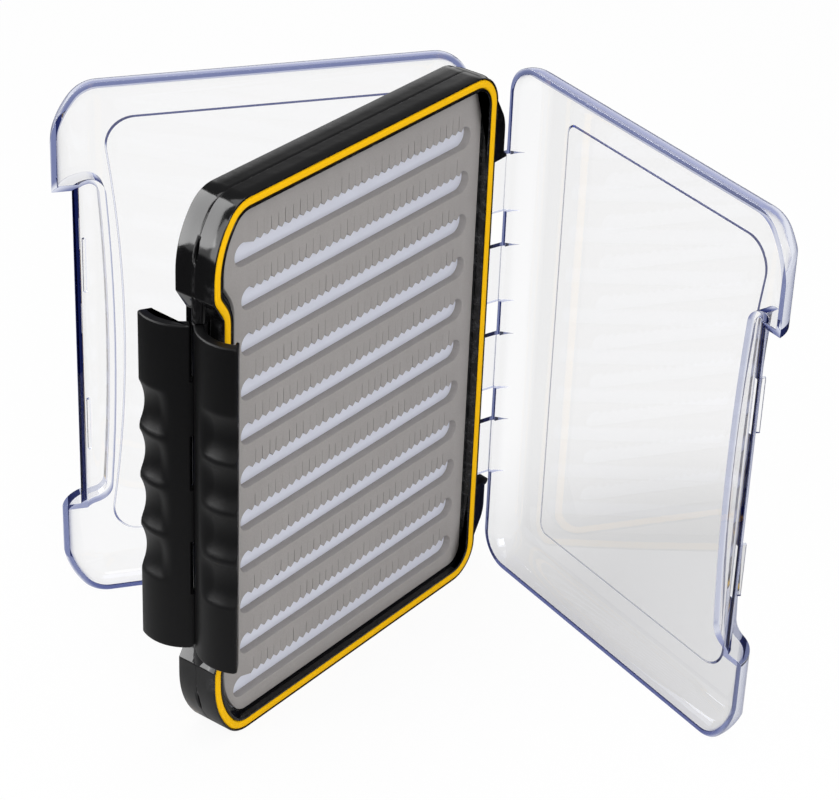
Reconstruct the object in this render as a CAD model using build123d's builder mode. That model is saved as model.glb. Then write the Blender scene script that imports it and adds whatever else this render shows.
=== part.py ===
from build123d import *
import os
from math import atan, atan2, cos, degrees, radians, sin, tan

# Two-sided fly box: a thin middle frame that carries slotted foam on both
# faces, two clear lids on one hinge pin and two finger latches on one latch
# pin. Millimetres. X runs from the latch side to the hinge side, Y through the
# box (front lid at -Y), Z up along the long side the box stands with.

os.makedirs("parts", exist_ok=True)

# Middle frame
frame_length = 181.4
frame_width = 130.8
frame_thick = 14.6
hinge_corner = 11.0
latch_corner_run = 9.8
latch_corner_drop = 12.9
latch_corner_small = 11.5
latch_corner_large = 29.0
parting_groove = 0.35

# Seal and foam seat
rim_border = 0.6
gasket_width = 2.8
gasket_depth = 1.5
gasket_proud = 0.2
seal_gap = 0.2
inner_lip = 0.9
foam_edge = 0.6
foam_fit = 0.2
latch_ledge = 1.9

# Foam sheets and the stiff sheet between them
panel_thick = 1.6
panel_lap = 1.0
foam_thick = 3.9
slot_pitch = 14.79
slot_height = 7.3
slot_latch_margin = 14.6
slot_hinge_margin = 10.4
slot_end_margin = 9.0
end_slot_extra = 3.0
tooth_pitch = 3.1
tooth_width = 1.1
tooth_height = 1.6

# Hinge: one pin, three frame knuckles, four gaps with a tab of each lid
hinge_reach = 2.6
hinge_pin_radius = 0.8
lid_barrel_radius = 2.3
knuckle_pitch = 32.2
knuckle_height = 11.5
knuckle_radius = 3.5
tab_gap = 0.35
tab_outer = 0.15
guard_reach = 4.7
guard_half = 6.5
guard_round = 3.0
guard_top_run = 3.7
guard_top_drop = 0.5
guard_fall = 18.8
pin_grip = 12.0
side_gap = 0.3

# Lids
lid_depth = 10.6
lid_wall = 1.9
lid_round = 9.8
lid_inset = 0.1
panel_step = 0.6
pane_hinge_margin = 17.9
pane_end_margin = 16.3
pane_latch_margin = 23.3
pane_bow = 6.2
pane_corner = 3.5
pane_latch_corner = 9.0
ledge_margin = 17.6
ledge_bow = 2.2
bay_flat_depth = 5.05

# Latches
latch_length = 108.0
latch_pin_inset = 2.35
latch_pin_radius = 0.85
latch_barrel_radius = 2.3
latch_arc_x = 11.7
latch_arc_y = 3.97
latch_wall = 3.2
latch_span = 92.9
latch_lip = 1.5
latch_lip_width = 1.1
latch_bevel = 0.9
latch_knuckles = 6
latch_cutback = 3.2
bay_clearance = 1.8
bay_depth = 4.3
bay_jog = 6.6
bay_round = 7.0
lug_reach = 1.4
rib_height = 1.3
rib_width = 1.2
rib_length = 18.4
rib_spread = 56.8
rib_lag = 0.35
scallop_pitch = 16.4
scallop_width = 12.5
scallop_depth = 1.7
scallop_lead = 10.2
pin_slit = 1.2
pin_slit_length = 8.0
latch_pin_length = 146.8
pin_fit = 0.05
pin_hold = 0.02

# Photographed pose
front_lid_open = 71.9
rear_lid_open = 35.9
front_latch_open = 40.0
rear_latch_open = 44.0

# Shared places
half_l = frame_length / 2
half_w = frame_width / 2
half_t = frame_thick / 2
frame_face = half_t - gasket_proud
lid_rim = half_t + seal_gap
hinge_x = half_w + hinge_reach
pin_x = -half_w + latch_pin_inset
gap_end = 1.5 * knuckle_pitch + (knuckle_pitch - knuckle_height) / 2
bay_half = latch_length / 2 + bay_clearance
middle = Plane(origin=(0, 0, half_l), x_dir=(1, 0, 0), z_dir=(0, -1, 0))
level = Plane.XY.offset(half_l)
hinge_axis = Axis((hinge_x, 0, 0), (0, 0, 1))
latch_axis = Axis((pin_x, 0, 0), (0, 0, 1))
flip_axis = Axis((0, 0, half_l), (1, 0, 0))

# Arc that the closed latch follows, with its centre seen from the latch pin
arc_x = pin_x + latch_arc_x
arc_mid = (latch_arc_x**2 + latch_arc_y**2) ** 0.5
arc_out = arc_mid + latch_wall / 2
arc_in = arc_mid - latch_wall / 2
pin_angle = 180 - degrees(atan2(latch_arc_y, latch_arc_x))
tip_angle = pin_angle + latch_span
# The lid's bay follows the same arc, one wall's clearance further in
bay_arc = lid_rim - latch_arc_y + bay_flat_depth - seal_gap

# ---------------------------------------------------------------- outlines
side_z = half_l - latch_corner_drop
top_x = -half_w + latch_corner_run
jog_z = bay_half + bay_jog
# The large corner rounding has to end before the bay's jog begins
corner_turn = atan(latch_corner_run / latch_corner_drop)
side_room = side_z - jog_z - bay_round * tan(atan(bay_depth / bay_jog) / 2)
corner_large = min(latch_corner_large, 0.95 * side_room / tan(corner_turn / 2))
case_radii = [hinge_corner, latch_corner_small, corner_large]
case_rounds = case_radii + case_radii[::-1]
case_corners = [
    (half_w, half_l),
    (top_x, half_l),
    (-half_w, side_z),
    (-half_w, -side_z),
    (top_x, -half_l),
    (half_w, -half_l),
]
# The frame draws in along the bay that the latches lie in
frame_rounds = case_radii + [bay_round] * 4 + case_radii[::-1]
frame_corners = [
    (half_w, half_l),
    (top_x, half_l),
    (-half_w, side_z),
    (-half_w, jog_z),
    (-half_w + bay_depth, bay_half),
    (-half_w + bay_depth, -bay_half),
    (-half_w, -jog_z),
    (-half_w, -side_z),
    (top_x, -half_l),
    (half_w, -half_l),
]


def outline(corners, rounds, inset):
    """The rounded outline, moved inwards by inset with its rounding parallel."""
    points = []
    radii = []
    for i, (x, z) in enumerate(corners):
        came = Vector(x - corners[i - 1][0], z - corners[i - 1][1]).normalized()
        after = corners[(i + 1) % len(corners)]
        goes = Vector(after[0] - x, after[1] - z).normalized()
        turn = came.X * goes.Y - came.Y * goes.X
        share = inset / (1 + came.dot(goes))
        points.append((x - (came.Y + goes.Y) * share, z + (came.X + goes.X) * share))
        radii.append(rounds[i] - inset if turn > 0 else rounds[i] + inset)
    with BuildSketch(middle) as sketch:
        with BuildLine():
            FilletPolyline(*points, radius=radii, close=True)
        make_face()
    return sketch.sketch_local


pocket_inset = rim_border + gasket_width + inner_lip
foam_inset = pocket_inset + foam_edge
lid_outline = outline(case_corners, case_rounds, lid_inset)
lid_hollow_outline = outline(case_corners, case_rounds, lid_inset + lid_wall)
frame_outline = outline(frame_corners, frame_rounds, 0)
groove_outline = outline(frame_corners, frame_rounds, parting_groove)
gasket_outer = outline(frame_corners, frame_rounds, rim_border)
gasket_inner = outline(frame_corners, frame_rounds, rim_border + gasket_width)
pocket_outline = outline(frame_corners, frame_rounds, pocket_inset)

# The foam keeps a ledge free on the latch side
foam_corners = [(x + latch_ledge if x < 0 else x, z) for x, z in frame_corners]
foam_outline = outline(foam_corners, frame_rounds, foam_inset)
window_outline = outline(foam_corners, frame_rounds, foam_inset - foam_fit)
seat_outline = outline(foam_corners, frame_rounds, foam_inset - panel_lap)
sheet_outline = outline(foam_corners, frame_rounds, foam_inset - panel_lap + foam_fit)

# ---------------------------------------------------------------- frame
guard_root = half_w - 2.8 * guard_top_run
guard_face = hinge_x + guard_reach
guard_shoulder = half_l - guard_top_drop - guard_fall
with BuildSketch(middle) as guard_outline:
    with BuildLine():
        Polyline(
            (guard_root, half_l - guard_top_drop),
            (half_w - guard_top_run, half_l - guard_top_drop),
            (guard_face, guard_shoulder),
            (guard_face, gap_end),
            (guard_root, gap_end),
            close=True,
        )
    make_face()
    fillet(guard_outline.vertices().sort_by_distance((half_w - guard_top_run, half_l))[0], radius=8)
    fillet(guard_outline.vertices().sort_by_distance((guard_face, guard_shoulder))[0], radius=12)

with BuildPart() as guard:
    with BuildSketch(middle):
        add(guard_outline.sketch_local)
    extrude(amount=guard_half)
    outer_edges = guard.edges().group_by(Axis.Y)[0].sort_by(Axis.X)
    fillet(outer_edges[-1], radius=guard_round)

with BuildPart() as frame_front:
    with BuildSketch(middle):
        add(frame_outline)
    extrude(amount=frame_face)
    add(guard.part)
    add(mirror(guard.part, about=level, mode=Mode.PRIVATE))
    # Hinge knuckles, round about the pin
    for step in (-1, 0, 1):
        with BuildSketch(level.offset(step * knuckle_pitch - knuckle_height / 2)):
            with Locations((hinge_x, 0)):
                Circle(knuckle_radius)
            with Locations((half_w, 0)):
                Rectangle(2 * hinge_reach, 2 * knuckle_radius)
        extrude(amount=knuckle_height)
    # Lugs that carry the latch pin at both ends of the bay
    for side in (-1, 1):
        with BuildSketch(level.offset(side * (bay_half + jog_z - lug_reach) / 2)):
            with Locations((pin_x, 0)):
                Circle(latch_barrel_radius)
            with Locations((pin_x + latch_pin_inset, 0)):
                Rectangle(2 * latch_pin_inset, 2 * latch_barrel_radius)
        extrude(amount=(bay_jog + lug_reach) / 2, both=True)
    # Only the front half stays
    split(bisect_by=Plane.XZ, keep=Keep.TOP)
    # Channel that the latch barrels turn in
    with BuildSketch(level):
        with Locations((pin_x, 0)):
            Circle(latch_barrel_radius + 1.5 * side_gap)
    extrude(amount=latch_length / 2 + side_gap, both=True, mode=Mode.SUBTRACT)
    # Foam pocket down to its ledge, the window below it, and the sheet's seat
    with BuildSketch(middle.offset(panel_thick / 2 + foam_thick - 2 * foam_fit)):
        add(pocket_outline)
    extrude(amount=frame_thick, mode=Mode.SUBTRACT)
    with BuildSketch(middle.offset(panel_thick / 2)):
        add(window_outline)
    extrude(amount=frame_thick, mode=Mode.SUBTRACT)
    with BuildSketch(middle):
        add(seat_outline)
    extrude(amount=panel_thick / 2, mode=Mode.SUBTRACT)
    # Gasket groove
    with BuildSketch(middle.offset(half_t - gasket_depth)):
        add(gasket_outer)
        add(gasket_inner, mode=Mode.SUBTRACT)
    extrude(amount=frame_thick, mode=Mode.SUBTRACT)
    # Seats of the two pins, and the slits over the latch pin's ends
    with BuildSketch(level):
        with Locations((hinge_x, 0)):
            Circle(hinge_pin_radius + pin_hold)
    extrude(amount=gap_end + pin_grip, both=True, mode=Mode.SUBTRACT)
    with BuildSketch(level):
        with Locations((pin_x, 0)):
            Circle(latch_pin_radius + pin_hold)
    extrude(amount=half_l - latch_corner_run, both=True, mode=Mode.SUBTRACT)
    for side in (-1, 1):
        with BuildSketch(level.offset(side * (half_l - latch_corner_run - pin_slit_length / 2))):
            with Locations((pin_x - latch_pin_inset, 0)):
                Rectangle(2 * latch_pin_inset, pin_slit)
        extrude(amount=pin_slit_length / 2, both=True, mode=Mode.SUBTRACT)

# The rear half is stepped back a little along the parting line
with BuildPart() as frame_rear:
    add(mirror(frame_front.part, about=Plane.XZ, mode=Mode.PRIVATE))
    with BuildSketch(middle):
        add(frame_outline)
        add(groove_outline, mode=Mode.SUBTRACT)
    extrude(amount=-2 * parting_groove, mode=Mode.SUBTRACT)

# ---------------------------------------------------------------- insert
with BuildPart() as centre_sheet:
    with BuildSketch(middle):
        add(sheet_outline)
    extrude(amount=panel_thick / 2, both=True)

# As many slots and teeth as the sheet has room for
slot_length = frame_width - slot_latch_margin - slot_hinge_margin
slot_shift = (slot_latch_margin - slot_hinge_margin) / 2
slot_count = int((frame_length - 2 * slot_end_margin - slot_height) / slot_pitch) + 1
tooth_count = int((slot_length - slot_height) / tooth_pitch)

# One slot: round ends, and a saw edge along its upper side
with BuildSketch(middle) as slot_row:
    SlotOverall(slot_length, slot_height)
    with GridLocations(tooth_pitch, 0, tooth_count, 1):
        with Locations((0, slot_height / 2)):
            Polygon(
                (-tooth_width / 2, -tooth_height / 4),
                (tooth_width / 2, -tooth_height / 4),
                (0, tooth_height),
                align=None,
            )

with BuildSketch(middle) as foam_face:
    add(foam_outline)
    with Locations((slot_shift, 0)):
        with GridLocations(0, slot_pitch, 1, slot_count):
            add(slot_row.sketch_local, mode=Mode.SUBTRACT)
    with Locations((slot_shift - slot_length / 2 + slot_height / 2, 0)):
        with GridLocations(0, slot_pitch * (slot_count - 1), 1, 2):
            SlotOverall(2 * end_slot_extra + slot_height, slot_height, mode=Mode.SUBTRACT)

with BuildPart() as front_foam:
    with BuildSketch(middle.offset(panel_thick / 2)):
        add(foam_face.sketch_local)
    extrude(amount=foam_thick)

with BuildPart() as rear_foam:
    add(mirror(front_foam.part, about=Plane.XZ, mode=Mode.PRIVATE))

with BuildPart() as front_gasket:
    with BuildSketch(middle.offset(half_t - gasket_depth)):
        add(gasket_outer)
        add(gasket_inner, mode=Mode.SUBTRACT)
    extrude(amount=gasket_depth)

with BuildPart() as rear_gasket:
    add(mirror(front_gasket.part, about=Plane.XZ, mode=Mode.PRIVATE))

# ---------------------------------------------------------------- pins
with BuildPart() as hinge_pin:
    with BuildSketch(level):
        with Locations((hinge_x, 0)):
            Circle(hinge_pin_radius)
    extrude(amount=gap_end + pin_grip - side_gap, both=True)

with BuildPart() as latch_pin:
    with BuildSketch(level):
        with Locations((pin_x, 0)):
            Circle(latch_pin_radius)
    extrude(amount=latch_pin_length / 2, both=True)

# ---------------------------------------------------------------- lids
# Where the latch lies, the lid steps down to a flat and a round bay
ledge_x = -half_w + ledge_margin
with BuildSketch(middle) as bay_outline:
    with BuildLine():
        Polyline(
            (ledge_x - ledge_bow, bay_half),
            (-half_w - bay_depth, bay_half),
            (-half_w - bay_depth, -bay_half),
            (ledge_x - ledge_bow, -bay_half),
        )
        ThreePointArc((ledge_x - ledge_bow, -bay_half), (ledge_x, 0), (ledge_x - ledge_bow, bay_half))
    make_face()
    ledge_corners = bay_outline.vertices().group_by(Axis.X)[-1]
    fillet(ledge_corners, radius=4)

with BuildSketch(level) as bay_form:
    with Locations((arc_x, -latch_arc_y)):
        Circle(bay_arc)
        Rectangle(frame_width, 2 * bay_arc, align=(Align.MIN, Align.CENTER))

with BuildSketch(level) as bay_form_inner:
    with Locations((arc_x, -latch_arc_y)):
        Circle(bay_arc - lid_wall)
        Rectangle(frame_width, 2 * (bay_arc - lid_wall), align=(Align.MIN, Align.CENTER))

# The lid's latch side is rounded about the same centre as the bay
edge_arc = lid_rim + lid_depth - latch_arc_y
with BuildSketch(level) as edge_form:
    with Locations((arc_x, -latch_arc_y)):
        Circle(edge_arc)
        Rectangle(2 * frame_width, 2 * edge_arc, align=(Align.MIN, Align.CENTER))

with BuildSketch(level) as edge_form_inner:
    with Locations((arc_x, -latch_arc_y)):
        Circle(edge_arc - lid_wall)
        Rectangle(2 * frame_width, 2 * (edge_arc - lid_wall), align=(Align.MIN, Align.CENTER))

with BuildPart() as bay_cut:
    with BuildSketch(middle):
        add(bay_outline.sketch_local)
    extrude(amount=3 * frame_thick)
    with BuildSketch(level):
        add(bay_form.sketch_local)
    extrude(amount=frame_length, both=True, mode=Mode.SUBTRACT)

with BuildPart() as bay_cut_inner:
    with BuildSketch(middle):
        add(bay_outline.sketch_local)
        offset(amount=lid_wall)
    extrude(amount=3 * frame_thick)
    with BuildSketch(level):
        add(bay_form_inner.sketch_local)
    extrude(amount=frame_length, both=True, mode=Mode.SUBTRACT)

with BuildPart() as lid_hollow:
    with BuildSketch(middle.offset(lid_rim - lid_wall)):
        add(lid_hollow_outline)
    extrude(amount=lid_depth)
    fillet(lid_hollow.edges().group_by(Axis.Y)[0], radius=lid_round - lid_wall)
    with BuildSketch(level):
        add(edge_form_inner.sketch_local)
    extrude(amount=frame_length, both=True, mode=Mode.INTERSECT)
    add(bay_cut_inner.part, mode=Mode.SUBTRACT)

pane_x = half_w - pane_hinge_margin
pane_bow_x = -half_w + pane_latch_margin
pane_z = half_l - pane_end_margin
with BuildPart() as lid:
    with BuildSketch(middle.offset(lid_rim)):
        add(lid_outline)
    extrude(amount=lid_depth)
    fillet(lid.edges().group_by(Axis.Y)[0], radius=lid_round)
    with BuildSketch(level):
        add(edge_form.sketch_local)
    extrude(amount=frame_length, both=True, mode=Mode.INTERSECT)
    add(bay_cut.part, mode=Mode.SUBTRACT)
    add(lid_hollow.part, mode=Mode.SUBTRACT)
    # Clear pane, one step below its border, bowed in on the latch side
    with BuildSketch(middle.offset(lid_rim + lid_depth - panel_step)) as pane:
        with BuildLine():
            ThreePointArc(
                (pane_bow_x - pane_bow, -pane_z),
                (pane_bow_x, 0),
                (pane_bow_x - pane_bow, pane_z),
            )
            Polyline(
                (pane_bow_x - pane_bow, pane_z),
                (pane_x, pane_z),
                (pane_x, -pane_z),
                (pane_bow_x - pane_bow, -pane_z),
            )
        make_face()
        fillet(pane.vertices().group_by(Axis.X)[-1], radius=pane_corner)
        fillet(pane.vertices().group_by(Axis.X)[0], radius=pane_latch_corner)
    extrude(amount=lid_depth, mode=Mode.SUBTRACT)
    # Catch ribs in the bay, just short of the closed latch's lip
    rib_angle = tip_angle - degrees((latch_lip_width + rib_lag + rib_width / 2) / bay_arc)
    rib_plane = Plane(
        origin=(arc_x, -latch_arc_y, half_l),
        x_dir=(cos(radians(rib_angle)), sin(radians(rib_angle)), 0),
        z_dir=(0, 0, 1),
    )
    for side in (-1, 1):
        with BuildSketch(rib_plane.offset(side * (rib_spread / 2 + rib_length / 2) - side * rib_length / 2)):
            with Locations((bay_arc + rib_height / 2 - lid_wall / 4, 0)):
                Rectangle(rib_height + lid_wall / 2, rib_width)
        extrude(amount=rib_length / 2, both=True)
    # Hinge tabs: a web as tall as the gap and a barrel in its upper half
    tab_height = knuckle_pitch - knuckle_height - 2 * tab_gap
    web_in = -hinge_reach + side_gap
    web_end = lid_barrel_radius + side_gap + tab_outer
    for step in (-1.5, -0.5, 0.5, 1.5):
        gap_plane = Plane(origin=(hinge_x, 0, half_l + step * knuckle_pitch))
        with BuildSketch(gap_plane):
            Polygon(
                (web_in, -web_end),
                (-tab_outer, -web_end),
                (-tab_outer, -lid_rim - lid_depth / 4),
                (-hinge_reach - lid_inset - lid_wall, -lid_rim - 0.6 * lid_depth),
                (-hinge_reach - lid_inset - lid_wall / 2, -lid_rim - seal_gap),
                (web_in, -lid_rim - seal_gap),
                align=None,
            )
        extrude(amount=tab_height / 2, both=True)
        with BuildSketch(gap_plane.offset(tab_gap / 2)):
            Circle(lid_barrel_radius)
            Polygon(
                (web_in, 0),
                (-tab_outer, 0),
                (-tab_outer, -web_end),
                (web_in, -web_end),
                align=None,
            )
        extrude(amount=(tab_height - tab_gap) / 2)
        with BuildSketch(gap_plane):
            Circle(hinge_pin_radius + pin_fit)
        extrude(amount=knuckle_pitch / 2, mode=Mode.SUBTRACT)

with BuildPart() as front_lid:
    add(lid.part.rotate(hinge_axis, front_lid_open))
with BuildPart() as rear_lid:
    add(lid.part.rotate(flip_axis, 180).rotate(hinge_axis, -rear_lid_open))

# ---------------------------------------------------------------- latches
with BuildPart() as latch:
    with BuildSketch(level) as latch_section:
        with BuildLine():
            CenterArc((arc_x, -latch_arc_y), arc_out, pin_angle, latch_span)
            CenterArc((arc_x, -latch_arc_y), arc_in, pin_angle, latch_span)
            for angle in (pin_angle, tip_angle):
                Line(
                    (arc_x + arc_in * cos(radians(angle)), -latch_arc_y + arc_in * sin(radians(angle))),
                    (arc_x + arc_out * cos(radians(angle)), -latch_arc_y + arc_out * sin(radians(angle))),
                )
        make_face()
        chamfer(latch_section.vertices().group_by(Axis.Y)[0], length=latch_bevel)
        with Locations((pin_x, 0)):
            Circle(latch_barrel_radius)
    extrude(amount=latch_length / 2, both=True)
    # Inner lip along the free edge
    lip_plane = Plane(
        origin=(arc_x, -latch_arc_y, half_l),
        x_dir=(cos(radians(tip_angle)), sin(radians(tip_angle)), 0),
        z_dir=(0, 0, 1),
    )
    with BuildSketch(lip_plane):
        with Locations((arc_in + latch_wall / 4, -latch_lip_width / 2)):
            Rectangle(2 * latch_lip + latch_wall / 2, latch_lip_width)
    extrude(amount=latch_length / 2, both=True)
    # Four finger scallops
    grip_angle = radians(tip_angle - scallop_lead)
    dip_radius = (scallop_width**2 / 4 + scallop_depth**2) / (2 * scallop_depth)
    dip_reach = arc_out - scallop_depth + dip_radius
    dip_plane = Plane(
        origin=(arc_x + dip_reach * cos(grip_angle), -latch_arc_y + dip_reach * sin(grip_angle), half_l),
        x_dir=(0, 0, 1),
        z_dir=(-sin(grip_angle), cos(grip_angle), 0),
    )
    with BuildSketch(dip_plane):
        with GridLocations(scallop_pitch, 0, 4, 1):
            Circle(dip_radius)
    extrude(amount=2 * arc_out, both=True, mode=Mode.SUBTRACT)
    # Room for the other latch's barrels
    barrel_length = latch_length / latch_knuckles
    for step in range(0, latch_knuckles, 2):
        low = -latch_length / 2 + step * barrel_length - tab_gap / 2
        with BuildSketch(level.offset(low)):
            with Locations((pin_x, 0)):
                Circle(latch_cutback)
        extrude(amount=barrel_length + tab_gap, mode=Mode.SUBTRACT)
    with BuildSketch(level):
        with Locations((pin_x, 0)):
            Circle(latch_pin_radius + pin_fit)
    extrude(amount=latch_length, both=True, mode=Mode.SUBTRACT)

with BuildPart() as front_latch:
    add(latch.part.rotate(latch_axis, -front_latch_open))
with BuildPart() as rear_latch:
    add(latch.part.rotate(flip_axis, 180).rotate(latch_axis, rear_latch_open))

# ---------------------------------------------------------------- output
frame_front.part.label = "frame_front"
export_step(frame_front.part, "parts/frame_front.step")
frame_rear.part.label = "frame_rear"
export_step(frame_rear.part, "parts/frame_rear.step")
centre_sheet.part.label = "centre_sheet"
export_step(centre_sheet.part, "parts/centre_sheet.step")
front_foam.part.label = "front_foam"
export_step(front_foam.part, "parts/front_foam.step")
rear_foam.part.label = "rear_foam"
export_step(rear_foam.part, "parts/rear_foam.step")
front_gasket.part.label = "front_gasket"
export_step(front_gasket.part, "parts/front_gasket.step")
rear_gasket.part.label = "rear_gasket"
export_step(rear_gasket.part, "parts/rear_gasket.step")
hinge_pin.part.label = "hinge_pin"
export_step(hinge_pin.part, "parts/hinge_pin.step")
latch_pin.part.label = "latch_pin"
export_step(latch_pin.part, "parts/latch_pin.step")
front_lid.part.label = "front_lid"
export_step(front_lid.part, "parts/front_lid.step")
rear_lid.part.label = "rear_lid"
export_step(rear_lid.part, "parts/rear_lid.step")
front_latch.part.label = "front_latch"
export_step(front_latch.part, "parts/front_latch.step")
rear_latch.part.label = "rear_latch"
export_step(rear_latch.part, "parts/rear_latch.step")
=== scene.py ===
"""Looks of a two-sided fly box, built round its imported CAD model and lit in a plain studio."""

import logging
from dataclasses import dataclass, field
from enum import Enum
from typing import Any

import bmesh
import bpy
import numpy as np
from mathutils import Matrix, Vector
from mathutils.geometry import delaunay_2d_cdt


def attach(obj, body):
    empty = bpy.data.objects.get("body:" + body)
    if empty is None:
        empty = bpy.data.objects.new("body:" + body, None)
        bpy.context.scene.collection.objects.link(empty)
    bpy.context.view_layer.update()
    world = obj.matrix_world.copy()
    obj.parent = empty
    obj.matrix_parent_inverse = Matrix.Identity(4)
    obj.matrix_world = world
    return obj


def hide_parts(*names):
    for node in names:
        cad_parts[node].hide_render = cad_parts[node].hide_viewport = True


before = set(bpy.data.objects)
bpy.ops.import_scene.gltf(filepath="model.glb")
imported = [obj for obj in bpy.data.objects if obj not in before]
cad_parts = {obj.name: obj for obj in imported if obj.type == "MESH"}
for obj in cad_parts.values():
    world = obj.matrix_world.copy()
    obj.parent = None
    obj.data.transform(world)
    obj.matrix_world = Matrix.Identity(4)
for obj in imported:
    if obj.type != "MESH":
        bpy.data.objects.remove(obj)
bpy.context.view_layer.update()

log = logging.getLogger("fly_box")

MM = 0.001
HALF_LENGTH = 90.7
HINGE_X = 68.0
LATCH_PIN_X = -63.05
LEDGE = 1.9
QUARTER = np.radians([0, 30, 60, 90])
Array = np.ndarray
Object = bpy.types.Object
Colour = tuple[float, float, float]
Point = tuple[float, float, float]
Settings = dict[Any, Any] | None


class Side(Enum):
    """The face of the box that a piece lies on."""

    FRONT = "front"
    REAR = "rear"

    @property
    def towards(self) -> float:
        """Sign of y on this side of the box."""
        return -1.0 if self is Side.FRONT else 1.0


# ------------------------------------------------------------------ shader maths


@dataclass(frozen=True)
class Signal:
    """A number that changes over a surface: one output socket, with the operators of plain maths."""

    graph: "Graph"
    socket: bpy.types.NodeSocket

    def _maths(self, operation: str, left: Any, right: Any, clamp: bool = False) -> "Signal":
        """Adds one Math node for an operation on two values."""
        settings = {"operation": operation, "use_clamp": clamp}
        return Signal(self.graph, self.graph.node("ShaderNodeMath", settings, {0: left, 1: right}).outputs[0])

    def __add__(self, other: Any) -> "Signal":
        """Sum of two values."""
        return self._maths("ADD", self, other)

    __radd__ = __add__

    def __mul__(self, other: Any) -> "Signal":
        """Product of two values."""
        return self._maths("MULTIPLY", self, other)

    __rmul__ = __mul__

    def __sub__(self, other: Any) -> "Signal":
        """This value less another."""
        return self._maths("SUBTRACT", self, other)

    def __rsub__(self, other: Any) -> "Signal":
        """Another value less this one."""
        return self._maths("SUBTRACT", other, self)

    def clamped(self) -> "Signal":
        """The value held between 0 and 1."""
        return self._maths("ADD", self, 0.0, clamp=True)

    def larger(self, other: Any) -> "Signal":
        """The larger of two values."""
        return self._maths("MAXIMUM", self, other)

    def ramp(self, low: float, high: float) -> "Signal":
        """0 below low, 1 above high, and a smooth rise between them.

        Args:
            low: Value that becomes 0.
            high: Value that becomes 1.

        Returns:
            The value after the smooth rise.
        """
        made = self.graph.node(
            "ShaderNodeMapRange",
            {"interpolation_type": "SMOOTHSTEP", "clamp": True},
            {"Value": self, "From Min": low, "From Max": high, "To Min": 0.0, "To Max": 1.0},
        )
        return Signal(self.graph, made.outputs["Result"])


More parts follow.
